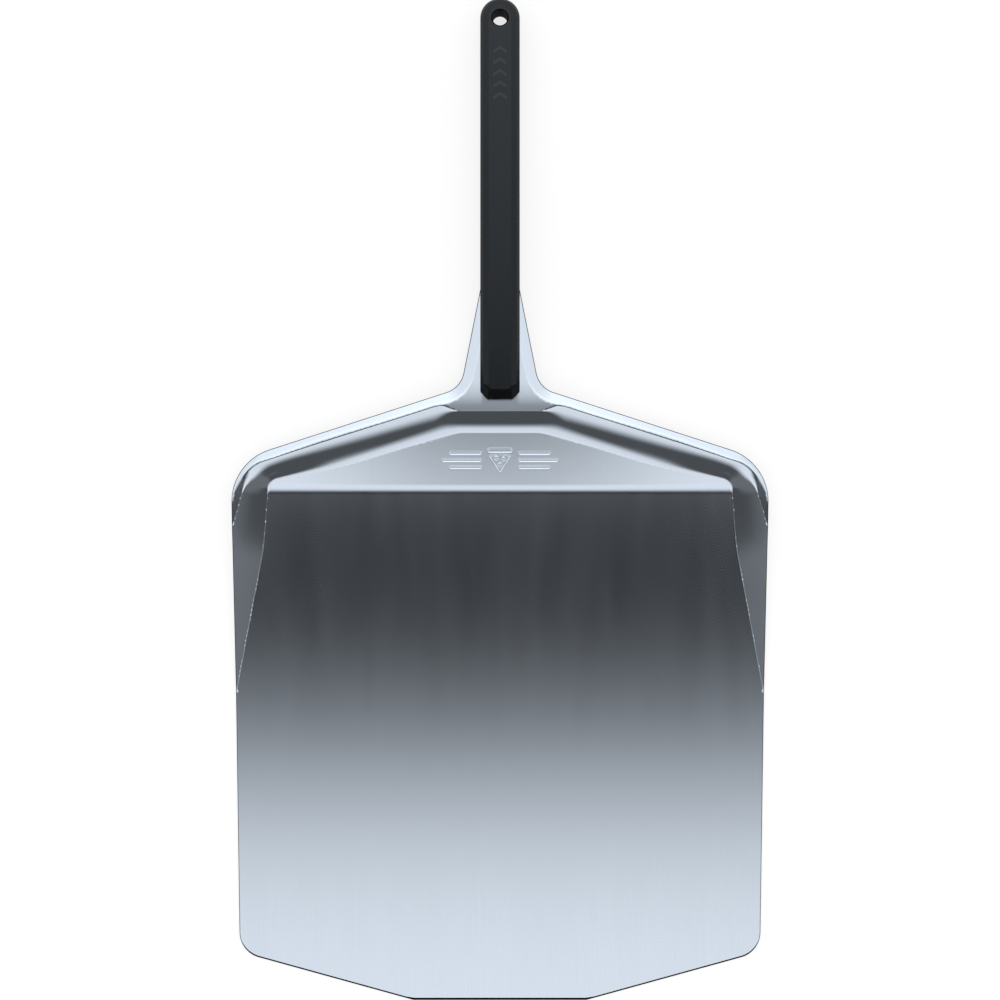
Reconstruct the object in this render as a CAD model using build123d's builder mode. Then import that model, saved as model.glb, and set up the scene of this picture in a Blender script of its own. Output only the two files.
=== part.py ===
from build123d import *
import os
from math import radians, sqrt, tan

os.makedirs("parts", exist_ok=True)

# ---------------------------------------------------------------------------
# Driving dimensions, in millimetres.
# The frame: +Z up from the surface the blade lies on, +Y towards the handle,
# X across the blade, and the origin under the middle of the whole peel.
# ---------------------------------------------------------------------------

# Blade sheet and its levels
sheet = 1.5
floor_top = sheet
crest_top = 12.0
tang_bottom = crest_top - sheet

# Straight edges of the blade's right half, each by two points on it
neck_edge = ((13.0, 142.0), (24.6, 83.8))
shoulder_edge = ((39.2, 71.8), (150.3, 35.9))
side_edge = ((178.0, -13.0), (174.0, -283.0))
nose_edge = ((173.6, -300.5), (58.3, -332.3))
front_y = -332.5
neck_radius = 17.0
shoulder_radius = 36.0
nose_radius = 17.5

# Outer flange: a band inside the edge that slopes outwards and down
flange_width = 6.7
flange_side = ((176.0, 10.0), (180.0, -8.0))
flange_slope = 12.0
flange_overrun = 4.0
neck_pad_half = 13.3
foot_pad_half = 17.3
neck_rear_y = 175.0
flange_front_y = -345.0

# Scoop: the pressed hollow between the riser and the two side rims
crest_inset = 11.0
crest_radius = 25.0
riser_top_y = 60.5
riser_foot_y = 46.0
riser_foot_half = 27.0
foot_corner = (154.5, 15.0)
foot_bend = (157.8, -30.0)
foot_front_half = 217.0
rim_top_edge = ((170.5, 8.0), (181.0, -26.6))
rim_bend_y = -30.0
rim_front_half = 240.0
scoop_front_y = -350.0
bend_radius = 150.0
foot_corner_radius = 9.0
scoop_headroom = 6.0

# Ramp at the back of the scoop
ramp_foot_y = 8.0
ramp_ridge_y = 10.4
ramp_step = 0.34
ramp_slope = 4.4
ramp_rear_y = 60.0
ramp_half = 168.0

# Bevel along the blade's leading edge
front_bevel = (1.6, 0.5)
nose_bevel = (1.0, 0.3)
bevel_overrun = 1.0

# Tang inside the handle, and the screws through it
tang_half = 7.0
tang_end_y = 283.0
screw_pitch = 67.0
screw_first_y = 96.0
screw_names = ("front", "front_middle", "rear_middle", "rear")
shank_radius = 1.75
tang_hole_radius = 2.2
head_radius = 3.1
head_height = 2.3
head_seat_z = 5.6
screw_tip_z = 19.5
head_room = 0.3
head_round = 0.9
drive_length = 3.6
drive_width = 0.9
drive_depth = 1.2
tip_taper = 25.0
pilot_radius = 1.8
pilot_top = 20.5
seat_radius = 5.2

# Handle: two moulded shells that meet at the underside of the tang
handle_half = 13.0
handle_front_y = 68.0
handle_rear_y = 332.5
handle_corner_cut = 5.0
handle_corner_radius = 2.0
handle_top = 25.0
handle_bottom = 3.0
steep_inset, steep_rise = 1.9, 4.7
top_inset, top_rise = 3.7, 1.1
steep_front_inset = 5.6
top_front_inset = 6.5
bottom_inset, bottom_rise = 2.6, 2.6
wall = 2.6
boss_radius = 4.4
rib = 1.6
rib_pitch = 22.0
hole_radius = 5.0
hole_y = 318.7
hole_rim = 0.85
tube_radius = 7.5
collar = 1.9

# Decoration: a pizza slice between tapering bars, and a row of chevrons on the grip
mark_depth = 0.25
mark_y = 28.0
slice_half = 6.8
slice_top = 4.0
slice_tip = -8.0
slice_arch = 1.3
crust_half = 8.0
crust_y = 6.6
crust_height = 2.6
toppings = ((-2.5, 1.6), (2.3, 0.9), (-0.1, -2.9))
topping_radius = 1.25
bar_length = 26.0
bar_shorter = 5.0
bar_gap = 12.5
bar_height = 1.8
bar_pitch = 4.8
chevron_count = 5
chevron_pitch = 7.6
chevron_first_y = 267.0
chevron_half = 4.6
chevron_rise = 3.2
chevron_width = 2.4

# Height of the die below the blade's lower face
die_depth = 12.0


def line_of(edge, shift=0.0):
    """A point and a direction of an edge, moved outwards (to the left of its run) by shift."""
    start, end = Vector(*edge[0]), Vector(*edge[1])
    along = (end - start).normalized()
    outward = Vector(-along.Y, along.X)
    return start + outward * shift, along


def meet(line_a, line_b):
    """Crossing point of two lines, each a point and a direction."""
    (p, u), (q, v) = line_a, line_b
    gap = q - p
    reach = (gap.X * v.Y - gap.Y * v.X) / (u.X * v.Y - u.Y * v.X)
    return p + u * reach


def at_x(x):
    """The line along Y at a given X."""
    return Vector(x, 0), Vector(0, 1)


def at_y(y):
    """The line along X at a given Y."""
    return Vector(0, y), Vector(1, 0)


def mirrored_face(points, radii):
    """Closed face from its right-hand outline, whose ends lie on X = 0."""
    with BuildLine() as outline:
        FilletPolyline(*points, radius=radii)
        mirror(about=Plane.YZ)
    make_face(outline.edges())


def flange_outline(grow, pad_half):
    """Outline of the neck and shoulders, moved outwards by grow, with a square rear end.

    At the sides it runs off the blade, so that the flange narrows to nothing there."""
    side_line = line_of(flange_side, grow + flange_width)
    points = [
        (0, neck_rear_y),
        (pad_half, neck_rear_y),
        meet(at_x(pad_half), line_of(neck_edge, grow)),
        meet(line_of(neck_edge, grow), line_of(shoulder_edge, grow)),
        meet(line_of(shoulder_edge, grow), side_line),
        meet(side_line, at_y(flange_front_y)),
        (0, flange_front_y),
    ]
    mirrored_face(points, [0, 0, neck_radius - grow, shoulder_radius + grow, 0])


def blade_outline():
    """Outline of the flat pattern of the blade, without its tang."""
    points = [
        (0, neck_rear_y),
        meet(at_y(neck_rear_y), line_of(neck_edge)),
        meet(line_of(neck_edge), line_of(shoulder_edge)),
        meet(line_of(shoulder_edge), line_of(side_edge)),
        meet(line_of(side_edge), line_of(nose_edge)),
        meet(line_of(nose_edge), at_y(front_y)),
        (0, front_y),
    ]
    mirrored_face(points, [0, neck_radius, shoulder_radius, nose_radius, 0])


def pizza_mark():
    """A pizza slice with three toppings under a thick crust, between two stacks of tapering bars."""
    with BuildLine() as slice_edge:
        shoulder = slice_top - slice_arch
        top = ThreePointArc((-slice_half, shoulder), (0, slice_top), (slice_half, shoulder))
        Polyline(top @ 1, (0, slice_tip), top @ 0)
    make_face(slice_edge.edges())
    with Locations(*toppings):
        Circle(topping_radius, mode=Mode.SUBTRACT)
    with Locations((0, crust_y)):
        SlotOverall(2 * crust_half, crust_height)
    for row in (-1, 0, 1):
        length = bar_length - bar_shorter * abs(row)
        with Locations((bar_gap, row * bar_pitch)):
            SlotOverall(length, bar_height, align=(Align.MIN, Align.CENTER))
        with Locations((-bar_gap, row * bar_pitch)):
            SlotOverall(length, bar_height, align=(Align.MAX, Align.CENTER))


def chevron(y):
    """One chevron, pointing to the rear, with its tip on the centreline."""
    with BuildLine() as edge:
        Polyline(
            (0, y + chevron_rise),
            (chevron_half, y),
            (chevron_half, y - chevron_width),
            (0, y + chevron_rise - chevron_width),
        )
        mirror(about=Plane.YZ)
    make_face(edge.edges())


# ---------------------------------------------------------------------------
# Die: the solid whose top is the upper face of the whole blade
# ---------------------------------------------------------------------------
flange_foot = crest_top - (flange_width + flange_overrun) * tan(radians(flange_slope))
crest_line = line_of(shoulder_edge, -crest_inset)
rim_line = line_of(rim_top_edge)

with BuildPart() as die:
    with BuildSketch(Plane.XY.offset(flange_foot)) as flange_low:
        flange_outline(flange_overrun, foot_pad_half)
    with BuildSketch(Plane.XY.offset(crest_top)) as flange_high:
        flange_outline(-flange_width, neck_pad_half)
    loft(ruled=True)
    extrude(flange_low.sketch, amount=-die_depth - flange_foot)

with BuildPart() as scoop:
    with BuildSketch(Plane.XY.offset(floor_top)) as scoop_foot:
        mirrored_face(
            [
                (0, riser_foot_y),
                (riser_foot_half, riser_foot_y),
                foot_corner,
                foot_bend,
                (foot_front_half, scoop_front_y),
                (0, scoop_front_y),
            ],
            [0, foot_corner_radius, bend_radius, 0],
        )
    with BuildSketch(Plane.XY.offset(crest_top)) as scoop_mouth:
        mirrored_face(
            [
                (0, riser_top_y),
                meet(at_y(riser_top_y), crest_line),
                meet(crest_line, rim_line),
                meet(rim_line, at_y(rim_bend_y)),
                (rim_front_half, scoop_front_y),
                (0, scoop_front_y),
            ],
            [0, crest_radius, bend_radius, 0],
        )
    loft(ruled=True)
    extrude(scoop_mouth.sketch, amount=scoop_headroom)

ridge_top = floor_top + ramp_step
ramp_top = ridge_top + (ramp_rear_y - ramp_ridge_y) * tan(radians(ramp_slope))

with BuildPart() as ramp:
    with BuildSketch(Plane.YZ):
        with BuildLine():
            Polyline(
                (ramp_foot_y, 0),
                (ramp_foot_y, floor_top),
                (ramp_ridge_y, ridge_top),
                (ramp_rear_y, ramp_top),
                (ramp_rear_y, 0),
                close=True,
            )
        make_face()
    extrude(amount=ramp_half, both=True)

with BuildPart() as form:
    add(die.part)
    add(scoop.part - ramp.part, mode=Mode.SUBTRACT)


# ---------------------------------------------------------------------------
# Blade: the sheet between the form and the form lowered by one thickness
# ---------------------------------------------------------------------------
screw_ys = [screw_first_y + screw_pitch * i for i in range(len(screw_names))]
mark_z = ridge_top + (mark_y - ramp_ridge_y) * tan(radians(ramp_slope))
mark_plane = Plane((0, mark_y, mark_z)).rotated((ramp_slope, 0, 0))

# Each bevel runs along a straight edge: its middle, direction, half length and size
nose_turn = meet(line_of(nose_edge), at_y(front_y))
nose_point, nose_along = line_of(nose_edge)
nose_middle = (nose_point + nose_turn) * 0.5
nose_half = (nose_turn - nose_point).length / 2
bevel_runs = [(Vector(0, front_y, floor_top), Vector(-1, 0), nose_turn.X, front_bevel)]
for side in (1, -1):
    middle = Vector(side * nose_middle.X, nose_middle.Y, floor_top)
    bevel_runs.append((middle, Vector(nose_along.X, side * nose_along.Y), nose_half, nose_bevel))

with BuildPart() as blade:
    add(form.part)
    with BuildSketch(Plane.XY.offset(-die_depth)):
        blade_outline()
    extrude(amount=crest_top + die_depth, mode=Mode.INTERSECT)
    add(Pos(0, 0, -sheet) * form.part, mode=Mode.SUBTRACT)
    # bevels along the leading edge
    for middle, along, half_length, bevel in bevel_runs:
        inward = along.rotate(Axis.Z, 90)
        with BuildSketch(Plane(middle, x_dir=inward, z_dir=-along)):
            with BuildLine():
                Polyline(
                    (-bevel_overrun, 0),
                    (bevel[0], 0),
                    (0, -bevel[1]),
                    (-bevel_overrun, -bevel[1]),
                    close=True,
                )
            make_face()
        extrude(amount=half_length, both=True, mode=Mode.SUBTRACT)
    # tang
    with BuildSketch(Plane.XY.offset(tang_bottom)):
        with Locations((0, neck_rear_y)):
            Rectangle(2 * tang_half, tang_end_y - neck_rear_y, align=(Align.CENTER, Align.MIN))
    extrude(amount=sheet)
    with Locations(*[(0, y, crest_top) for y in screw_ys if y < tang_end_y]):
        Hole(tang_hole_radius, depth=2 * sheet)
    # pressed decoration on the ramp
    with BuildSketch(mark_plane):
        pizza_mark()
    extrude(amount=-mark_depth, mode=Mode.SUBTRACT)
blade.part.label = "blade"
export_step(blade.part, "parts/blade.step")


# ---------------------------------------------------------------------------
# Handle shells
# ---------------------------------------------------------------------------
def handle_outline(inset=0.0, front_inset=None):
    """Outline of the grip: round at the rear, with two cut corners at the front.

    The front end can have an inset of its own, so that it slants more than the sides."""
    half = handle_half - inset
    front = handle_front_y + (inset if front_inset is None else front_inset)
    cut = handle_corner_cut - inset * (2 - sqrt(2))
    rear_centre_y = handle_rear_y - handle_half
    with BuildLine() as outline:
        side = FilletPolyline(
            (0, front),
            (half - cut, front),
            (half, front + cut),
            (half, rear_centre_y),
            radius=handle_corner_radius,
        )
        RadiusArc(side @ 1, (0, rear_centre_y + half), -half)
        mirror(about=Plane.YZ)
    make_face(outline.edges())


upper_side_top = handle_top - top_rise - steep_rise
lower_side_bottom = handle_bottom + bottom_rise
roof = handle_top - wall
rib_count = int((hole_y - handle_front_y) / rib_pitch)
tang_screw_ys = [y for y in screw_ys if y < tang_end_y]
rear_screw_ys = [y for y in screw_ys if y > tang_end_y]


def ribs(z_from, z_to):
    """Cross ribs between the side walls, evenly spaced along the grip."""
    with BuildSketch(Plane.XY.offset(z_from)) as rib_feet:
        with Locations((0, (handle_front_y + hole_y) / 2)):
            with GridLocations(0, rib_pitch, 1, rib_count):
                Rectangle(2 * handle_half - wall, rib)
    extrude(rib_feet.sketch, amount=z_to - z_from)


def posts(ys, radius, z_from, z_to, mode=Mode.ADD):
    """Round posts or holes on the centreline at the given places."""
    with BuildSketch(Plane.XY.offset(z_from)) as post_feet:
        with Locations(*[(0, y) for y in ys]):
            Circle(radius)
    extrude(post_feet.sketch, amount=z_to - z_from, mode=mode)


with BuildPart() as upper:
    with BuildSketch(Plane.XY.offset(tang_bottom)):
        handle_outline()
    extrude(amount=upper_side_top - tang_bottom)
    with BuildSketch(Plane.XY.offset(upper_side_top)):
        handle_outline()
    with BuildSketch(Plane.XY.offset(handle_top - top_rise)) as band_foot:
        handle_outline(steep_inset, steep_front_inset)
    loft(ruled=True)
    add(band_foot.sketch)
    with BuildSketch(Plane.XY.offset(handle_top)):
        handle_outline(steep_inset + top_inset, top_front_inset)
    loft(ruled=True)
    # hollow from beneath, narrowing under the chamfered top
    with BuildSketch(Plane.XY.offset(tang_bottom)):
        handle_outline(wall)
    extrude(amount=upper_side_top - tang_bottom, mode=Mode.SUBTRACT)
    with BuildSketch(Plane.XY.offset(upper_side_top)):
        handle_outline(wall)
    with BuildSketch(Plane.XY.offset(roof)):
        handle_outline(wall + steep_inset, wall + steep_front_inset)
    loft(ruled=True, mode=Mode.SUBTRACT)
    # ribs and screw bosses that press on the tang, and the tube of the hanging hole
    ribs(crest_top, roof)
    posts(tang_screw_ys, boss_radius, crest_top, roof)
    posts(rear_screw_ys, boss_radius, tang_bottom, roof)
    posts(screw_ys, pilot_radius, tang_bottom, pilot_top, mode=Mode.SUBTRACT)
    posts([hole_y], tube_radius, handle_bottom, roof)
    posts([hole_y], hole_radius, handle_bottom, handle_top, mode=Mode.SUBTRACT)
    rims = upper.edges().filter_by(GeomType.CIRCLE).filter_by(
        lambda edge: abs(edge.radius - hole_radius) < 0.01 and edge.center().Z in (handle_bottom, handle_top)
    )
    chamfer(rims, length=hole_rim)
    # chevrons pressed into the top
    with BuildSketch(Plane.XY.offset(handle_top)):
        for i in range(chevron_count):
            chevron(chevron_first_y + i * chevron_pitch)
    extrude(amount=-mark_depth, mode=Mode.SUBTRACT)
    add(blade.part, mode=Mode.SUBTRACT)
upper.part.label = "handle_upper_shell"
export_step(upper.part, "parts/handle_upper_shell.step")

with BuildPart() as lower:
    with BuildSketch(Plane.XY.offset(handle_bottom)):
        handle_outline(bottom_inset)
    with BuildSketch(Plane.XY.offset(lower_side_bottom)) as side_foot:
        handle_outline()
    loft(ruled=True)
    extrude(side_foot.sketch, amount=tang_bottom - lower_side_bottom)
    # hollow from above
    with BuildSketch(Plane.XY.offset(lower_side_bottom)):
        handle_outline(wall)
    extrude(amount=tang_bottom - lower_side_bottom, mode=Mode.SUBTRACT)
    # ribs, screw seats and the collar round the tube
    ribs(lower_side_bottom, tang_bottom)
    posts(screw_ys, seat_radius, lower_side_bottom, tang_bottom)
    posts([hole_y], tube_radius + collar, lower_side_bottom, tang_bottom)
    posts(screw_ys, tang_hole_radius, handle_bottom, tang_bottom, mode=Mode.SUBTRACT)
    posts(screw_ys, head_radius + head_room, handle_bottom, head_seat_z, mode=Mode.SUBTRACT)
    posts([hole_y], tube_radius, handle_bottom, tang_bottom, mode=Mode.SUBTRACT)
    add(blade.part, mode=Mode.SUBTRACT)
lower.part.label = "handle_lower_shell"
export_step(lower.part, "parts/handle_lower_shell.step")


# ---------------------------------------------------------------------------
# Screws, driven from beneath through the lower shell and the tang
# ---------------------------------------------------------------------------
for screw_name, y in zip(screw_names, screw_ys):
    with BuildPart() as screw:
        posts([y], head_radius, head_seat_z - head_height, head_seat_z)
        posts([y], shank_radius, head_seat_z, screw_tip_z - shank_radius)
        with BuildSketch(Plane.XY.offset(screw_tip_z - shank_radius)) as tip_foot:
            with Locations((0, y)):
                Circle(shank_radius)
        extrude(tip_foot.sketch, amount=shank_radius, taper=tip_taper)
        head_edge = screw.edges().group_by(Axis.Z)[0]
        fillet(head_edge, radius=head_round)
        with BuildSketch(Plane.XY.offset(head_seat_z - head_height)) as drive:
            with Locations((0, y)):
                Rectangle(drive_length, drive_width)
                Rectangle(drive_width, drive_length)
        extrude(drive.sketch, amount=drive_depth, mode=Mode.SUBTRACT)
    screw.part.label = f"handle_screw_{screw_name}"
    export_step(screw.part, f"parts/handle_screw_{screw_name}.step")
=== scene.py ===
import math

import bpy
import numpy as np
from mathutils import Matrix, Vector
from mathutils.geometry import delaunay_2d_cdt


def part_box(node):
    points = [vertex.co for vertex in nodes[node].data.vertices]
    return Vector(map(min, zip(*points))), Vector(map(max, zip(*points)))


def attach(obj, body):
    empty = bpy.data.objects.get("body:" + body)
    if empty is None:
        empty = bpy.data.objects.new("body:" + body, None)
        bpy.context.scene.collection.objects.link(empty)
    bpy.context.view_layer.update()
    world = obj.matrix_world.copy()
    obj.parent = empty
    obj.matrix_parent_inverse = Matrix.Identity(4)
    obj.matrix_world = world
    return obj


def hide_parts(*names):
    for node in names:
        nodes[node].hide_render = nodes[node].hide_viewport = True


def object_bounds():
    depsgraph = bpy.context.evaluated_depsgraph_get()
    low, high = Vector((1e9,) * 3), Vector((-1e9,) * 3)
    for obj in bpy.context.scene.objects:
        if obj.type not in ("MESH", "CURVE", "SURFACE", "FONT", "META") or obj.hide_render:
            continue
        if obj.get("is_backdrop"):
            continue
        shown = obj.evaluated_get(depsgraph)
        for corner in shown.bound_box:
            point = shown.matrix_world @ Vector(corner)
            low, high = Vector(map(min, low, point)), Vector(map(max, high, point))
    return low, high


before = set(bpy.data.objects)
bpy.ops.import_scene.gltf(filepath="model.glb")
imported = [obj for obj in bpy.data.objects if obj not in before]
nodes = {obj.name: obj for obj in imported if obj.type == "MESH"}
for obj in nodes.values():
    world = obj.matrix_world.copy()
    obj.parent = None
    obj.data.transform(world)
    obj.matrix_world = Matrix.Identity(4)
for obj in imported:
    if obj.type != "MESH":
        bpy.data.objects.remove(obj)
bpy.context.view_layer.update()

MM = 0.001

# ---------------------------------------------------------------------------
# Driving dimensions of the blade, in millimetres: its outline is the part's own
# ---------------------------------------------------------------------------
SHEET = 1.5
FLOOR_TOP = SHEET
CREST_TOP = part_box("blade")[1].z / MM
NECK_EDGE = ((13.0, 142.0), (24.6, 83.8))
SHOULDER_EDGE = ((39.2, 71.8), (150.3, 35.9))
SIDE_EDGE = ((178.0, -13.0), (174.0, -283.0))
NOSE_EDGE = ((173.6, -300.5), (58.3, -332.3))
FRONT_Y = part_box("blade")[0].y / MM
TANG_END_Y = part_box("blade")[1].y / MM
TANG_HALF = 7.0
NECK_RADIUS = 17.0
SHOULDER_RADIUS = 36.0
NOSE_RADIUS = 17.5
SCREW_NODES = ("handle_screw_front", "handle_screw_front_middle", "handle_screw_rear_middle")
TANG_HOLE_RADIUS = 2.2
TANG_HOLE_SIDES = 32
# Lines of the relief run past the blade's ends, to here in front and by this much behind
PAST_FRONT_Y = -350.0
PAST_TANG = 20.0

# Chevrons on the grip
CHEVRON_COUNT = 5
CHEVRON_PITCH = 7.6
CHEVRON_FIRST_Y = 267.0
CHEVRON_HALF = 4.6
CHEVRON_RISE = 3.2
CHEVRON_WIDTH = 2.4

# Relief: the part's own lines and heights, with the bends and slight curves of a real pressing
FLANGE_WIDTH = 6.7
FLANGE_SIDE = ((176.0, 10.0), (180.0, -8.0))
FLANGE_SLOPE = 12.0
PAD_HALF = 13.3
CREST_INSET = 11.0
RISER_TOP_Y = 60.5
RISER_FOOT = ((0.0, 46.0), (27.0, 46.0))
FOOT_CORNER = (154.5, 15.0)
FOOT_BEND = (157.8, -30.0)
FOOT_FRONT = (218.0, PAST_FRONT_Y)
RIM_TOP_EDGE = ((170.5, 8.0), (181.0, -26.6))
RIM_BEND_Y = -30.0
RIM_FRONT = (240.0, PAST_FRONT_Y)
FOOT_RADII = (30.0, 9.0, 150.0)
RIM_RADII = (30.0, 25.0, 150.0)
RAMP_FOOT_Y = 8.0
RAMP_RIDGE_Y = 10.4
RAMP_STEP = 0.34
# Degrees at the middle of the ramp, and how many more at RAMP_HALF from the middle
RAMP_SLOPE = 4.2
RAMP_SLOPE_GAIN = 2.0
RAMP_HALF = 150.0
RISER_OVERRUN = 3.0
CREST_FALL = 1.0
CREST_FALL_SPAN = (20.0, 165.0)
CREST_BLEND = 5.0
FOOT_BLEND = 3.0
OUTER_SOFTENING = 0.6
OUTER_SPAN = (50.0, 130.0)
CRISP_BEND = 0.02
SOFT_BEND_Y = (4.0, 28.0)
SOFT_BEND_X = (26.0, 46.0)
RAMP_BLEND = 0.36
RIDGE_BLEND = 0.1
NECK_FALL_Y = 64.0
NECK_FALL_LENGTH = 500.0
NECK_FALL_END_Y = 80.0
NECK_FALL_SPAN = (11.0, 13.0)
FLANGE_BLEND = 0.12
# Width and depth of the bevels, and where each begins and the run over which it grows
FRONT_BEVEL = (1.6, 0.5)
FRONT_BEVEL_START = 1.5
FRONT_BEVEL_RUN = 1.4
NOSE_BEVEL = (1.0, 0.3)
NOSE_BEVEL_Y = -292.0
NOSE_BEVEL_RUN = 10.0
EDGE_ROUND = 0.45

# Spacing of the mesh
OUTLINE_SPACING = 2.0
COARSE_SPACING = 7.0
RELIEF_SPACING = 1.3
MARK_SPACING = 0.42
STEP_SPACING = (2.4, 0.35)
TANG_SPACING = 3.0
RAIL_SPACING = 1.6
RAIL_OFFSETS = (-0.15, -0.03, 0.03, 0.15)
ROW_SHARE = 0.87

# Where each spacing is used, and how far its points keep from other ones
PLAN_HALF = 180.0
RELIEF_Y = (-150.0, 165.0)
COARSE_END_Y = 160.0
TANG_GRID_HALF = 6.0
STEP_GRID_HALF = 163.0
STEP_GRID_MARGINS = (2.0, 2.5)
GRID_MARGIN = 0.3
STEP_CLEARANCES = (2.2, 2.7, 0.5)
WALL_REACH = 9.0
RAMP_REACH = 4.0
COARSE_WALL_GAP = 13.0
COARSE_RAMP_GAP = 7.0
COARSE_FRONT_Y = -154.0
RAIL_CLEARANCE = 0.6
RIM_CLEARANCE = 0.45
HOLE_CLEARANCE = 0.6
RAILS_WITHIN_Y = (-150.0, 24.0)
RAILS_NECK_HALF = 50.0
RAILS_FLANGE_GAP = 0.4


# ---------------------------------------------------------------------------
# Plane geometry
# ---------------------------------------------------------------------------
def line_of(edge, shift=0.0):
    """A point and a direction of an edge, moved outwards (to the left of its run) by shift."""
    start, end = Vector(edge[0]), Vector(edge[1])
    along = (end - start).normalized()
    return start + Vector((-along.y, along.x)) * shift, along


def meet(line_a, line_b):
    """Crossing point of two lines, each a point and a direction."""
    (p, u), (q, v) = line_a, line_b
    gap = q - p
    return p + u * ((gap.x * v.y - gap.y * v.x) / (u.x * v.y - u.y * v.x))


def at_x(x):
    return Vector((x, 0)), Vector((0, 1))


def at_y(y):
    return Vector((0, y)), Vector((1, 0))


def rounded(points, radii, arc_step=math.radians(3)):
    """A polyline with its inner corners rounded: points, and one radius for each inner corner."""
    points = [Vector(p) for p in points]
    path = [points[0]]
    for before, corner, after, radius in zip(points, points[1:], points[2:], radii):
        into, out = (corner - before).normalized(), (after - corner).normalized()
        turn = math.atan2(into.x * out.y - into.y * out.x, into.dot(out))
        if radius <= 0 or abs(turn) < 1e-6:
            path.append(corner)
            continue
        start = corner - into * radius * math.tan(abs(turn) / 2)
        side = math.copysign(1, turn)
        centre = start + Vector((-into.y, into.x)) * radius * side
        count = max(2, math.ceil(abs(turn) / arc_step))
        spoke = start - centre
        for i in range(count + 1):
            angle = turn * i / count
            cos, sin = math.cos(angle), math.sin(angle)
            path.append(centre + Vector((spoke.x * cos - spoke.y * sin, spoke.x * sin + spoke.y * cos)))
    path.append(points[-1])
    return np.array([tuple(p) for p in path])


def both_sides(half):
    """A closed loop from its right half, whose ends lie on X = 0."""
    left = half[::-1].copy()
    left[:, 0] *= -1
    return np.concatenate([half, left[1:-1]])


def signed_distance(points, loop):
    """Distance from each point to a closed loop, negative inside."""
    best = np.full(len(points), 1e9)
    inside = np.zeros(len(points), bool)
    for a, b in zip(loop, np.roll(loop, -1, axis=0)):
        run = b - a
        length2 = run @ run
        if length2 < 1e-12:
            continue
        t = np.clip(((points - a) @ run) / length2, 0, 1)
        gap = points - a - t[:, None] * run
        best = np.minimum(best, np.hypot(gap[:, 0], gap[:, 1]))
        crosses = (a[1] > points[:, 1]) != (b[1] > points[:, 1])
        if crosses.any():
            x_cross = a[0] + (points[:, 1] - a[1]) * run[0] / (run[1] if abs(run[1]) > 1e-12 else 1e-12)
            inside ^= crosses & (points[:, 0] < x_cross)
    return np.where(inside, -best, best)


def smooth_min(a, b, reach):
    overlap = np.maximum(reach - np.abs(a - b), 0) / reach
    return np.minimum(a, b) - overlap**2 * reach / 4


def smooth_max(a, b, reach):
    return -smooth_min(-a, -b, reach)


# ---------------------------------------------------------------------------
# Outlines of the blade and of its pressed relief
# ---------------------------------------------------------------------------
crest_line = line_of(SHOULDER_EDGE, -CREST_INSET)
rim_line = line_of(RIM_TOP_EDGE)

blade_half = rounded(
    [
        (0, TANG_END_Y),
        (TANG_HALF, TANG_END_Y),
        meet(at_x(TANG_HALF), line_of(NECK_EDGE)),
        meet(line_of(NECK_EDGE), line_of(SHOULDER_EDGE)),
        meet(line_of(SHOULDER_EDGE), line_of(SIDE_EDGE)),
        meet(line_of(SIDE_EDGE), line_of(NOSE_EDGE)),
        meet(line_of(NOSE_EDGE), at_y(FRONT_Y)),
        (0, FRONT_Y),
    ],
    [1.0, 0, NECK_RADIUS, SHOULDER_RADIUS, NOSE_RADIUS, 0],
)
foot_half = rounded([*RISER_FOOT, FOOT_CORNER, FOOT_BEND, FOOT_FRONT, (0, FOOT_FRONT[1])], [*FOOT_RADII, 0])
rim_half = rounded(
    [
        (0, RISER_TOP_Y),
        meet(at_y(RISER_TOP_Y), crest_line),
        meet(crest_line, rim_line),
        meet(rim_line, at_y(RIM_BEND_Y)),
        RIM_FRONT,
        (0, RIM_FRONT[1]),
    ],
    [*RIM_RADII, 0],
)
# The flange follows the neck and shoulders, and the pad under the grip is flat
flange_half = rounded(
    [
        (0, TANG_END_Y + PAST_TANG),
        (PAD_HALF, TANG_END_Y + PAST_TANG),
        meet(at_x(PAD_HALF), line_of(NECK_EDGE, -FLANGE_WIDTH)),
        meet(line_of(NECK_EDGE, -FLANGE_WIDTH), line_of(SHOULDER_EDGE, -FLANGE_WIDTH)),
        meet(line_of(SHOULDER_EDGE, -FLANGE_WIDTH), line_of(FLANGE_SIDE)),
        meet(line_of(FLANGE_SIDE), at_y(PAST_FRONT_Y)),
        (0, PAST_FRONT_Y),
    ],
    [0, 0, NECK_RADIUS + FLANGE_WIDTH, SHOULDER_RADIUS - FLANGE_WIDTH, 0],
)
blade_loop = both_sides(blade_half)
foot_loop = both_sides(foot_half)
rim_loop = both_sides(rim_half)
flange_loop = both_sides(flange_half)


# ---------------------------------------------------------------------------
# Pressed decoration: a pizza slice between two stacks of tapering bars
# ---------------------------------------------------------------------------
MARK_Y = 28.0
MARK_DEPTH = 0.25
MARK_EDGE = 0.9
MARK_HALF_SIZE = (41.0, 10.5)
SLICE_HALF = 6.8
SLICE_TOP = 4.0
SLICE_TIP = -8.0
SLICE_ARCH = 1.3
CRUST_HALF = 8.0
CRUST_Y = 6.6
CRUST_HEIGHT = 2.6
TOPPINGS = ((-2.5, 1.6), (2.3, 0.9), (-0.1, -2.9))
TOPPING_RADIUS = 1.25
BAR_START = 12.5
BAR_LENGTH = 26.0
BAR_SHORTER = 5.0
BAR_HEIGHT = 1.8
BAR_PITCH = 4.8


def slot_distance(x, y, start, end, height):
    """Distance to a slot that runs along X from start to end, negative inside it."""
    along = np.maximum(np.maximum(start + height / 2 - x, x - end + height / 2), 0)
    return np.hypot(along, y) - height / 2


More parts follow.
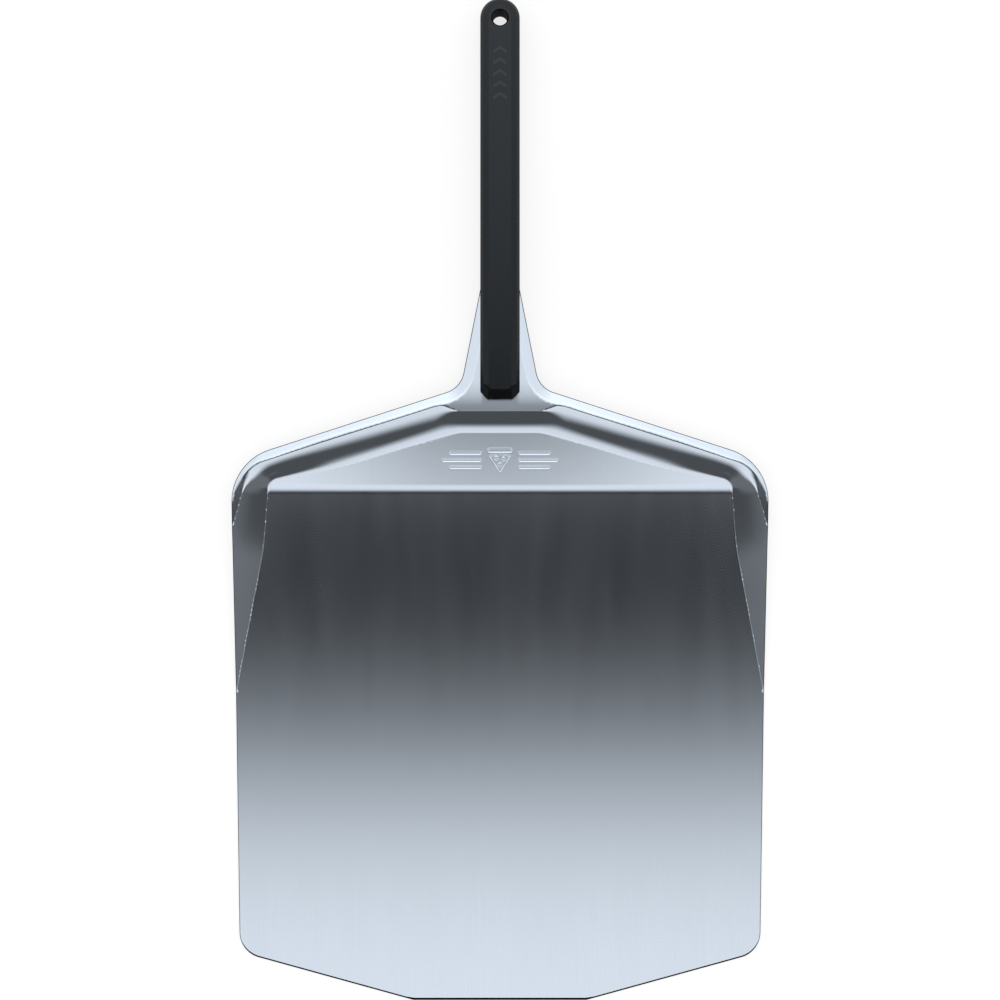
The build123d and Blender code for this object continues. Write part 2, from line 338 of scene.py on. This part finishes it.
def mark_distance(points):
    """Distance to the pressed decoration, negative inside it."""
    local = np.stack([points[:, 0], points[:, 1] - MARK_Y], axis=1)
    sweep = np.linspace(-1, 1, 15)
    arc = np.stack([sweep * SLICE_HALF, SLICE_TOP - SLICE_ARCH * sweep**2], axis=1)
    found = signed_distance(local, np.concatenate([arc, [[0, SLICE_TIP]]]))
    for x, y in TOPPINGS:
        found = np.maximum(found, TOPPING_RADIUS - np.hypot(local[:, 0] - x, local[:, 1] - y))
    crust = slot_distance(local[:, 0], local[:, 1] - CRUST_Y, -CRUST_HALF, CRUST_HALF, CRUST_HEIGHT)
    found = np.minimum(found, crust)
    for row in (-1, 0, 1):
        end = BAR_START + BAR_LENGTH - BAR_SHORTER * abs(row)
        bar = slot_distance(abs(local[:, 0]), local[:, 1] - row * BAR_PITCH, BAR_START, end, BAR_HEIGHT)
        found = np.minimum(found, bar)
    return found


# ---------------------------------------------------------------------------
# Height of the blade's upper face over its plan
# ---------------------------------------------------------------------------
def ramp_height(points):
    """A small step, then a face that rises to the rear, a little steeper towards the sides."""
    x, y = abs(points[:, 0]), points[:, 1]
    step = FLOOR_TOP + RAMP_STEP * (y - RAMP_FOOT_Y) / (RAMP_RIDGE_Y - RAMP_FOOT_Y)
    slope = np.radians(RAMP_SLOPE + RAMP_SLOPE_GAIN * (x / RAMP_HALF) ** 2)
    face = FLOOR_TOP + RAMP_STEP + (y - RAMP_RIDGE_Y) * np.tan(slope)
    return smooth_min(step, face, RIDGE_BLEND)


def fade(value, start, end):
    """Smooth step from 0 at start to 1 at end."""
    share = np.clip((value - start) / (end - start), 0, 1)
    return share**2 * (3 - 2 * share)


def relief(points, with_mark=True):
    """Height in millimetres of the sheet's upper face at each point of the plan."""
    to_foot = signed_distance(points, foot_loop)
    to_rim = signed_distance(points, rim_loop)
    crest = CREST_TOP - CREST_FALL * fade(abs(points[:, 0]), *CREST_FALL_SPAN)
    base = smooth_max(np.full(len(points), FLOOR_TOP), ramp_height(points), RAMP_BLEND)
    if with_mark:
        base = base - MARK_DEPTH * fade(-mark_distance(points), -MARK_EDGE / 2, MARK_EDGE / 2)
    across = to_foot / np.maximum(to_foot - to_rim, 1e-6)
    riser = FLOOR_TOP + np.minimum(across, RISER_OVERRUN) * (crest - FLOOR_TOP)
    # The bends are wide along the riser, and crisp at the neck and along the two side walls
    behind = fade(points[:, 1], *SOFT_BEND_Y)
    off_neck = fade(abs(points[:, 0]), *SOFT_BEND_X)
    outer = 1 + OUTER_SOFTENING * fade(abs(points[:, 0]), *OUTER_SPAN)
    foot_bend = CRISP_BEND + (FOOT_BLEND * outer - CRISP_BEND) * behind
    crest_bend = CRISP_BEND + (CREST_BLEND * outer - CRISP_BEND) * behind * off_neck
    outside = signed_distance(points, flange_loop)
    # Beside the grip the neck curves down a little towards the rear
    behind_crest = np.clip(points[:, 1] - NECK_FALL_Y, 0, NECK_FALL_END_Y - NECK_FALL_Y)
    fall = behind_crest * (points[:, 1] - NECK_FALL_Y - behind_crest / 2) / NECK_FALL_LENGTH
    crest = crest - fall * fade(abs(points[:, 0]), *NECK_FALL_SPAN)
    drop = smooth_max(outside * math.tan(math.radians(FLANGE_SLOPE)), np.zeros(len(points)), FLANGE_BLEND)
    return smooth_min(smooth_max(base, riser, foot_bend), crest - drop, crest_bend)


def slopes(points, step=0.05):
    """Unit normals of the upper face."""
    east, north = np.array([step, 0]), np.array([0, step])
    dx = (relief(points + east) - relief(points - east)) / (2 * step)
    dy = (relief(points + north) - relief(points - north)) / (2 * step)
    normal = np.stack([-dx, -dy, np.ones(len(points))], axis=1)
    return normal / np.linalg.norm(normal, axis=1)[:, None]


# ---------------------------------------------------------------------------
# Blade mesh
# ---------------------------------------------------------------------------
def resample(loop, spacing):
    """The same closed loop, with its long runs divided evenly."""
    out = []
    for a, b in zip(loop, np.roll(loop, -1, axis=0)):
        count = max(1, math.ceil(np.hypot(*(b - a)) / spacing))
        out += [a + (b - a) * i / count for i in range(count)]
    out = np.array(out)
    keep = np.hypot(*(out - np.roll(out, 1, axis=0)).T) > 0.05
    return out[keep]


def loop_normals(loop):
    """Unit normals in the plane, pointing to the left of the loop's run."""
    along = np.roll(loop, -1, axis=0) - np.roll(loop, 1, axis=0)
    along /= np.linalg.norm(along, axis=1)[:, None]
    return np.stack([-along[:, 1], along[:, 0]], axis=1)


def grid(x_range, y_range, spacing_x, spacing_y=None):
    """Staggered points over a rectangle."""
    spacing_y = spacing_y or spacing_x * ROW_SHARE
    rows = np.arange(y_range[0], y_range[1], spacing_y)
    out = []
    for i, y in enumerate(rows):
        x = np.arange(x_range[0] + (i % 2) * spacing_x / 2, x_range[1], spacing_x)
        out.append(np.stack([x, np.full(len(x), y)], axis=1))
    return np.concatenate(out)


def in_box(points, half_width, low_y, high_y):
    """Whether each point lies in a box across X = 0."""
    return (abs(points[:, 0]) < half_width) & (points[:, 1] > low_y) & (points[:, 1] < high_y)


def bend_gap(points):
    """Distance to the nearest line along which the sheet bends."""
    gap = np.full(len(points), 1e9)
    for loop in (foot_loop, rim_loop, flange_loop):
        gap = np.minimum(gap, abs(signed_distance(points, loop)))
    return gap


def crease_rails():
    """Points along both sides of the crisp bends."""
    rails = []
    for loop in (foot_loop, rim_loop, flange_loop):
        middle = resample(loop, RAIL_SPACING)
        beside = loop_normals(middle)
        rails += [middle + beside * offset for offset in RAIL_OFFSETS]
    rails = np.concatenate(rails)
    crisp = rails[:, 1] < RAILS_WITHIN_Y[1]
    crisp |= abs(rails[:, 0]) < RAILS_NECK_HALF
    crisp |= abs(signed_distance(rails, flange_loop)) < RAILS_FLANGE_GAP
    return rails[crisp & (rails[:, 1] > RAILS_WITHIN_Y[0])]


def step_grid():
    """Close rows along the ramp's small step."""
    before, behind = STEP_GRID_MARGINS
    rows = (RAMP_FOOT_Y - before, RAMP_RIDGE_Y + behind)
    points = grid((-STEP_GRID_HALF, STEP_GRID_HALF), rows, *STEP_SPACING)
    return points[bend_gap(points) > RAIL_CLEARANCE]


def relief_grid():
    """Fine points over the ramp, the walls and the rim, clear of the rails, the step and the decoration."""
    points = grid((-PLAN_HALF, PLAN_HALF), RELIEF_Y, RELIEF_SPACING)
    wanted = signed_distance(points, foot_loop) > -WALL_REACH
    wanted |= points[:, 1] > RAMP_FOOT_Y - RAMP_REACH
    wanted &= bend_gap(points) > RAIL_CLEARANCE
    half_x, half_y = MARK_HALF_SIZE[0] + GRID_MARGIN, MARK_HALF_SIZE[1] + GRID_MARGIN
    wanted &= ~in_box(points, half_x, MARK_Y - half_y, MARK_Y + half_y)
    before, behind, beside = STEP_CLEARANCES
    wanted &= ~in_box(points, STEP_GRID_HALF + beside, RAMP_FOOT_Y - before, RAMP_RIDGE_Y + behind)
    return points[wanted]


def coarse_grid():
    """Wide points over the flat floor."""
    points = grid((-PLAN_HALF, PLAN_HALF), (FRONT_Y, COARSE_END_Y), COARSE_SPACING)
    flat = signed_distance(points, foot_loop) < -COARSE_WALL_GAP
    flat &= points[:, 1] < RAMP_FOOT_Y - COARSE_RAMP_GAP
    flat |= points[:, 1] < COARSE_FRONT_Y
    return points[flat]


def blade_plan():
    """Points over the upper face, close together where the relief bends and in the decoration."""
    half_x, half_y = MARK_HALF_SIZE
    mark_grid = grid((-half_x, half_x), (MARK_Y - half_y, MARK_Y + half_y), MARK_SPACING)
    tang_grid = grid((-TANG_GRID_HALF, TANG_GRID_HALF), (COARSE_END_Y, TANG_END_Y), TANG_SPACING)
    return np.concatenate([coarse_grid(), relief_grid(), step_grid(), mark_grid, tang_grid, crease_rails()])


def edge_bevel(loop):
    """Width and depth of the bevel at each point of the outline: wide along the leading edges."""
    y = loop[:, 1]
    nose = np.clip((NOSE_BEVEL_Y - y) / NOSE_BEVEL_RUN, 0, 1)
    front = np.clip((FRONT_Y + FRONT_BEVEL_START - y) / FRONT_BEVEL_RUN, 0, 1)
    width = EDGE_ROUND + (NOSE_BEVEL[0] - EDGE_ROUND) * nose + (FRONT_BEVEL[0] - NOSE_BEVEL[0]) * front
    depth = EDGE_ROUND + (NOSE_BEVEL[1] - EDGE_ROUND) * nose + (FRONT_BEVEL[1] - NOSE_BEVEL[1]) * front
    return width, depth


def screw_holes():
    """Round loops where the grip's screws pass through the tang."""
    turn = np.linspace(0, 2 * math.pi, TANG_HOLE_SIDES + 1)[:-1]
    circle = TANG_HOLE_RADIUS * np.stack([np.cos(turn), np.sin(turn)], axis=1)
    holes = []
    for node in SCREW_NODES:
        low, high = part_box(node)
        holes.append(np.array(((low + high) / 2).xy / MM) + circle)
    return holes


def triangulated(rim, holes):
    """The plan's points and triangles between the rim and the holes, and where each boundary point went."""
    inner = blade_plan()
    keep = signed_distance(inner, rim) < -RIM_CLEARANCE
    for hole in holes:
        keep &= signed_distance(inner, hole) > HOLE_CLEARANCE
    loops = [rim, *holes]
    plan = np.concatenate([*loops, inner[keep]])
    constraints, start = [], 0
    for loop in loops:
        n = len(loop)
        constraints += [(start + i, start + (i + 1) % n) for i in range(n)]
        start += n
    result = delaunay_2d_cdt([Vector(p) for p in plan], constraints, [], 0, 1e-5)
    verts, faces = np.array([tuple(v) for v in result[0]]), np.array(result[2])
    centres = verts[faces].mean(axis=1)
    inside = signed_distance(centres, rim) < 0
    for hole in holes:
        inside &= signed_distance(centres, hole) > 0
    place = {source: i for i, sources in enumerate(result[3]) for source in sources}
    return verts, faces[inside], place


def leaning(outward, up):
    """Unit normals that lean outwards in the plane, and up by the given amounts."""
    normal = np.column_stack([outward, np.zeros(len(outward)) + up])
    return normal / np.linalg.norm(normal, axis=1)[:, None]


class Sheet:
    """A closed sheet as it is built up: points, polygons, a normal for each corner, and sharp edges."""

    def __init__(self, top, bottom, faces, normals):
        self.points = [*top, *bottom]
        self.polygons = [tuple(f) for f in faces] + [tuple(f[::-1] + len(top)) for f in faces]
        self.corner_normals = [normals[i] for f in faces for i in f]
        self.corner_normals += [-normals[i] for f in faces for i in f[::-1]]
        self.crisp = set()

    def ring(self, outline, z):
        """A new ring of points along the outline, at the given heights."""
        first = len(self.points)
        self.points += list(np.column_stack([outline, z]))
        return list(range(first, len(self.points)))

    def skirt(self, rings, directions):
        """Faces between rings of points, each pair of rings with the normals it shades with."""
        for upper, lower, normal in zip(rings, rings[1:], directions):
            for i, after in enumerate(np.roll(range(len(upper)), -1)):
                self.polygons.append((upper[i], lower[i], lower[after], upper[after]))
                self.corner_normals.extend((normal[i], normal[i], normal[after], normal[after]))
                self.crisp.add(frozenset((upper[i], upper[after])))
                self.crisp.add(frozenset((lower[i], lower[after])))

    def piece(self, name):
        """The sheet as an object in the scene."""
        mesh = bpy.data.meshes.new(name)
        mesh.from_pydata([tuple(float(c) * MM for c in p) for p in self.points], [], self.polygons)
        mesh.update()
        sharp = mesh.attributes.new("sharp_edge", "BOOLEAN", "EDGE")
        sharp.data.foreach_set("value", [frozenset(edge.vertices) in self.crisp for edge in mesh.edges])
        mesh.polygons.foreach_set("use_smooth", [True] * len(mesh.polygons))
        mesh.normals_split_custom_set([tuple(float(c) for c in v) for v in self.corner_normals])
        piece = bpy.data.objects.new(name, mesh)
        bpy.context.scene.collection.objects.link(piece)
        return piece


def build_blade():
    """The blade as one closed sheet: upper face, lower face, and bevelled edges around it."""
    outline = resample(blade_loop, OUTLINE_SPACING)
    outward = loop_normals(outline)
    width, depth = edge_bevel(outline)
    holes = screw_holes()
    verts, faces, place = triangulated(outline - outward * width[:, None], holes)
    top = np.column_stack([verts, relief(verts)])
    base = np.column_stack([verts, relief(verts, with_mark=False)])
    sheet = Sheet(top, base - np.array([0, 0, SHEET]), faces, slopes(verts))

    start = len(outline)
    rim_top = [place[i] for i in range(start)]
    edge_z = top[rim_top, 2]
    lower_round = np.minimum(EDGE_ROUND, (SHEET - depth) / 2)
    upper_ring = sheet.ring(outline, edge_z - depth)
    lower_ring = sheet.ring(outline, edge_z - SHEET + lower_round)
    rings = (rim_top, upper_ring, lower_ring, [i + len(verts) for i in rim_top])
    leans = (leaning(outward, width / depth), leaning(outward, 0.0), leaning(outward, -width / lower_round))
    sheet.skirt(rings, leans)
    for hole in holes:
        ring = [place[start + i] for i in range(len(hole))]
        start += len(hole)
        sheet.skirt(([i + len(verts) for i in ring], ring), [leaning(-loop_normals(hole), 0.0)])
    return sheet.piece("peel_blade")


blade = build_blade()
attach(blade, "root")
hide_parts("blade")


# ---------------------------------------------------------------------------
# Materials
# ---------------------------------------------------------------------------
class Shader:
    """A node material, with short calls for the nodes it uses."""

    def __init__(self, name):
        self.material = bpy.data.materials.new(name)
        self.material.use_nodes = True
        self.tree = self.material.node_tree
        self.surface = self.tree.nodes["Principled BSDF"]
        self.coordinates = self.add("ShaderNodeTexCoord").outputs["Object"]

    def add(self, kind, **values):
        node = self.tree.nodes.new(kind)
        for key, value in values.items():
            setattr(node, key, value)
        return node

    def join(self, output, node, socket):
        self.tree.links.new(output, node.inputs[socket])

    def stretched(self, scale):
        mapping = self.add("ShaderNodeMapping")
        mapping.inputs["Scale"].default_value = scale
        self.join(self.coordinates, mapping, "Vector")
        return mapping.outputs["Vector"]

    def noise(self, vector, scale, detail=4.0, roughness=0.55):
        node = self.add("ShaderNodeTexNoise")
        node.inputs["Scale"].default_value = scale
        node.inputs["Detail"].default_value = detail
        node.inputs["Roughness"].default_value = roughness
        self.join(vector, node, "Vector")
        return node.outputs["Fac"]

    def remap(self, output, low, high, to_low, to_high):
        node = self.add("ShaderNodeMapRange")
        ends = {"From Min": low, "From Max": high, "To Min": to_low, "To Max": to_high}
        for socket, value in ends.items():
            node.inputs[socket].default_value = value
        self.join(output, node, "Value")
        return node.outputs["Result"]

    def between(self, output, low, high):
        """A colour between low and high. Inputs 6 and 7 and output 2 are the mix node's colour sockets."""
        node = self.add("ShaderNodeMix", data_type="RGBA")
        for socket, colour in ((6, low), (7, high)):
            if isinstance(colour, tuple):
                node.inputs[socket].default_value = (*colour, 1)
            else:
                self.join(colour, node, socket)
        self.join(output, node, 0)
        return node.outputs[2]

    def math(self, operation, *values):
        node = self.add("ShaderNodeMath", operation=operation)
        for socket, value in enumerate(values):
            if isinstance(value, (int, float)):
                node.inputs[socket].default_value = value
            else:
                self.join(value, node, socket)
        return node.outputs[0]

    def chevrons(self):
        """1 inside the chevrons pressed into the grip and 0 elsewhere."""
        node = self.add("ShaderNodeSeparateXYZ")
        self.join(self.coordinates, node, "Vector")
        across = self.math("ABSOLUTE", node.outputs["X"])
        start = (CHEVRON_FIRST_Y + CHEVRON_RISE - CHEVRON_WIDTH) * MM
        along = self.math("MULTIPLY_ADD", across, CHEVRON_RISE / CHEVRON_HALF, node.outputs["Y"])
        along = self.math("SUBTRACT", along, start)
        phase = self.math("MODULO", along, CHEVRON_PITCH * MM)
        inside = self.math("LESS_THAN", phase, CHEVRON_WIDTH * MM)
        inside = self.math("MULTIPLY", inside, self.math("GREATER_THAN", along, 0.0))
        row_length = CHEVRON_COUNT * CHEVRON_PITCH * MM
        inside = self.math("MULTIPLY", inside, self.math("LESS_THAN", along, row_length))
        return self.math("MULTIPLY", inside, self.math("LESS_THAN", across, CHEVRON_HALF * MM))

    def bump(self, height, strength, distance):
        node = self.add("ShaderNodeBump")
        node.inputs["Strength"].default_value = strength
        node.inputs["Distance"].default_value = distance
        self.join(height, node, "Height")
        return node.outputs["Normal"]


def aluminium():
    shader = Shader("brushed_aluminium")
    surface = shader.surface
    surface.inputs["Metallic"].default_value = 1.0
    brush = shader.noise(shader.stretched((2600, 45, 900)), scale=1.0, detail=3.0)
    patches = shader.noise(shader.stretched((60, 9, 60)), scale=1.0, detail=4.0)
    shader.join(shader.between(brush, (0.73, 0.82, 0.93), (0.80, 0.89, 1.0)), surface, "Base Color")
    shader.join(shader.remap(patches, 0.3, 0.7, 0.118, 0.128), surface, "Roughness")
    shader.join(shader.bump(brush, 0.2, 0.00002), surface, "Normal")
    return shader.material


def nylon():
    shader = Shader("grip_nylon")
    surface = shader.surface
    grain = shader.noise(shader.coordinates, 2600, 3.0)
    cloud = shader.noise(shader.coordinates, 35, 3.0)
    plain = shader.between(cloud, (0.0014, 0.002, 0.003), (0.0024, 0.0032, 0.0046))
    chevrons = shader.chevrons()
    shader.join(shader.between(chevrons, plain, (0.03, 0.033, 0.037)), surface, "Base Color")
    roughness = shader.remap(cloud, 0.3, 0.7, 0.15, 0.2)
    shader.join(shader.math("MULTIPLY_ADD", chevrons, 0.3, roughness), surface, "Roughness")
    surface.inputs["Specular Tint"].default_value = (0.84, 0.93, 1.0, 1)
    surface.inputs["Specular IOR Level"].default_value = 0.54
    shader.join(shader.bump(grain, 0.25, 0.00006), surface, "Normal")
    return shader.material


def steel():
    shader = Shader("screw_steel")
    surface = shader.surface
    surface.inputs["Metallic"].default_value = 1.0
    wear = shader.noise(shader.coordinates, 900, 4.0)
    shader.join(shader.between(wear, (0.42, 0.42, 0.43), (0.62, 0.62, 0.63)), surface, "Base Color")
    shader.join(shader.remap(wear, 0.3, 0.7, 0.25, 0.42), surface, "Roughness")
    shader.join(shader.bump(wear, 0.2, 0.00003), surface, "Normal")
    return shader.material


def dress(piece, material):
    """One material on the whole piece."""
    piece.data.materials.clear()
    piece.data.materials.append(material)


dress(blade, aluminium())
grip_material, screw_material = nylon(), steel()
for name, node in nodes.items():
    if name.startswith("handle_screw"):
        dress(node, screw_material)
    elif name.startswith("handle"):
        dress(node, grip_material)
dress(nodes["blade"], blade.data.materials[0])


# ---------------------------------------------------------------------------
# Floor, light and camera
# ---------------------------------------------------------------------------
CAMERA_HEIGHT = 1.5
CAMERA_SHIFT = 0.0015
FRAME_HEIGHT = 0.6685
SENSOR = 36.0
NEAREST_SEEN = 0.01
FLOOR_REACH = 3.0
FLOOR_DROP = 0.0003
FLOOR_GLOW = 0.75

# Brightness against the angle from straight up, in degrees: positive leans towards the front edge
FRONT_LIGHT = (
    (-90, 0.35), (-66, 0.6), (-36, 1.4), (-16, 1.6), (-8, 1.1), (-5, 0.95), (-3, 0.6), (-2.2, 0.2),
    (-1.6, 0.0), (3.5, 0.0), (5.5, 0.17), (7.6, 0.66), (9.5, 1.03), (12, 1.15), (18, 1.02), (60, 0.95),
)
# The side panels' brightness, and their share against the angle to the side, in degrees
SIDE_GLOW = 1.1
SIDE_SHARE = ((9, 0.0), (18, 1.0))
# Each against half the angle round from the front, in degrees: how far from straight up the panels reach and
# how softly they end, both as parts of half a turn, and the brightness beyond them
PANEL_REACH = ((0, 0.155), (30, 0.155), (38, 0.176), (52, 0.176), (60, 0.4), (90, 0.42))
PANEL_SOFTNESS = ((0, 0.155), (26, 0.155), (36, 0.033), (90, 0.033))
RING_LIGHT = ((0, 0.1), (14, 0.1), (20, 0.2), (34, 0.2), (39, 0.09), (51, 0.09), (57, 0.1), (90, 0.05))


def pale_floor():
    """A pale floor that glows a little to the eye and is dark in reflections."""
    far = FLOOR_REACH
    corners = [(x, y, -FLOOR_DROP) for x, y in ((-far, -far), (far, -far), (far, far), (-far, far))]
    mesh = bpy.data.meshes.new("floor")
    mesh.from_pydata(corners, [], [(0, 1, 2, 3)])
    floor = bpy.data.objects.new("floor", mesh)
    bpy.context.scene.collection.objects.link(floor)
    shader = Shader("pale_floor")
    cloud = shader.noise(shader.coordinates, 3, 2.0)
    pale = shader.between(cloud, (0.29, 0.29, 0.29), (0.31, 0.31, 0.31))
    path = shader.add("ShaderNodeLightPath")
    seen = shader.remap(path.outputs["Is Glossy Ray"], 0, 1, FLOOR_GLOW, 0.0)
    shader.join(pale, shader.surface, "Base Color")
    shader.join(seen, shader.surface, "Emission Strength")
    shader.surface.inputs["Emission Color"].default_value = (1, 1, 1, 1)
    shader.surface.inputs["Roughness"].default_value = 0.9
    shader.surface.inputs["Specular IOR Level"].default_value = 0.1
    dress(floor, shader.material)
    floor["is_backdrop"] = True


class Sky:
    """The world's nodes, with short calls for the ones the studio uses."""

    def __init__(self, name):
        self.world = bpy.data.worlds.new(name)
        self.world.use_nodes = True
        self.tree = self.world.node_tree
        self.tree.nodes.clear()

    def add(self, kind):
        return self.tree.nodes.new(kind)

    def join(self, output, socket):
        self.tree.links.new(output, socket)

    def math(self, operation, *values):
        node = self.add("ShaderNodeMath")
        node.operation = operation
        for socket, value in enumerate(values):
            if isinstance(value, (int, float)):
                node.inputs[socket].default_value = value
            else:
                self.join(value, node.inputs[socket])
        return node.outputs[0]

    def ramp(self, angle, stops):
        """A value over an angle in degrees, from -90 to 90."""
        node = self.add("ShaderNodeValToRGB")
        self.join(self.math("MULTIPLY_ADD", angle, 1 / math.pi, 0.5), node.inputs[0])
        elements = node.color_ramp.elements
        while len(elements) > 1:
            elements.remove(elements[-1])
        for i, (degrees, value) in enumerate(stops):
            position = degrees / 180 + 0.5
            element = elements[0] if i == 0 else elements.new(position)
            element.position = position
            element.color = (value, value, value, 1)
        return node.outputs[0]

    def mixed(self, share, low, high):
        """Low and high weighed by the share that high has."""
        low_part = self.math("MULTIPLY", low, self.math("SUBTRACT", 1.0, share))
        return self.math("ADD", low_part, self.math("MULTIPLY", high, share))

    def background(self):
        return self.add("ShaderNodeBackground")


def studio():
    """A dark gap straight above, soft boxes all round it, and a plain bright backdrop behind the object."""
    sky = Sky("studio")
    bpy.context.scene.world = sky.world
    direction = sky.add("ShaderNodeSeparateXYZ")
    sky.join(sky.add("ShaderNodeTexCoord").outputs["Generated"], direction.inputs[0])
    x, y, z = direction.outputs
    to_front = sky.math("MULTIPLY", y, -1.0)
    front = sky.math("ARCTAN2", to_front, z)
    side = sky.math("ABSOLUTE", sky.math("ARCTAN2", x, z))
    half_round = sky.math("MULTIPLY", sky.math("ARCTAN2", sky.math("ABSOLUTE", x), to_front), 0.5)

    panel = sky.mixed(sky.ramp(side, SIDE_SHARE), sky.ramp(front, FRONT_LIGHT), SIDE_GLOW)
    reach = sky.math("MULTIPLY", sky.ramp(half_round, PANEL_REACH), math.pi)
    softness = sky.math("MULTIPLY", sky.ramp(half_round, PANEL_SOFTNESS), math.pi)
    beyond = sky.add("ShaderNodeMapRange")
    beyond.interpolation_type = "SMOOTHSTEP"
    sky.join(sky.math("ARCCOSINE", z), beyond.inputs["Value"])
    sky.join(reach, beyond.inputs["From Min"])
    sky.join(sky.math("ADD", reach, softness), beyond.inputs["From Max"])
    glow = sky.mixed(beyond.outputs["Result"], panel, sky.ramp(half_round, RING_LIGHT))
    light = sky.background()
    sky.join(glow, light.inputs["Strength"])

    backdrop = sky.background()
    backdrop.inputs["Strength"].default_value = 1.0
    backdrop.inputs["Color"].default_value = (1, 1, 1, 1)
    path = sky.add("ShaderNodeLightPath")
    plain = sky.math("MAXIMUM", path.outputs["Is Camera Ray"], path.outputs["Is Diffuse Ray"])
    mix = sky.add("ShaderNodeMixShader")
    sky.join(plain, mix.inputs[0])
    sky.join(light.outputs[0], mix.inputs[1])
    sky.join(backdrop.outputs[0], mix.inputs[2])
    sky.join(mix.outputs[0], sky.add("ShaderNodeOutputWorld").inputs[0])


pale_floor()
studio()

camera = bpy.data.cameras.new("camera")
camera.sensor_width = SENSOR
camera.lens = SENSOR * CAMERA_HEIGHT / FRAME_HEIGHT
camera.clip_start = NEAREST_SEEN
low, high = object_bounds()
camera_object = bpy.data.objects.new("camera", camera)
camera_object.location = (0, (low.y + high.y) / 2 + CAMERA_SHIFT, CAMERA_HEIGHT)
bpy.context.scene.collection.objects.link(camera_object)
bpy.context.scene.camera = camera_object
bpy.context.scene.view_settings.view_transform = "Standard"
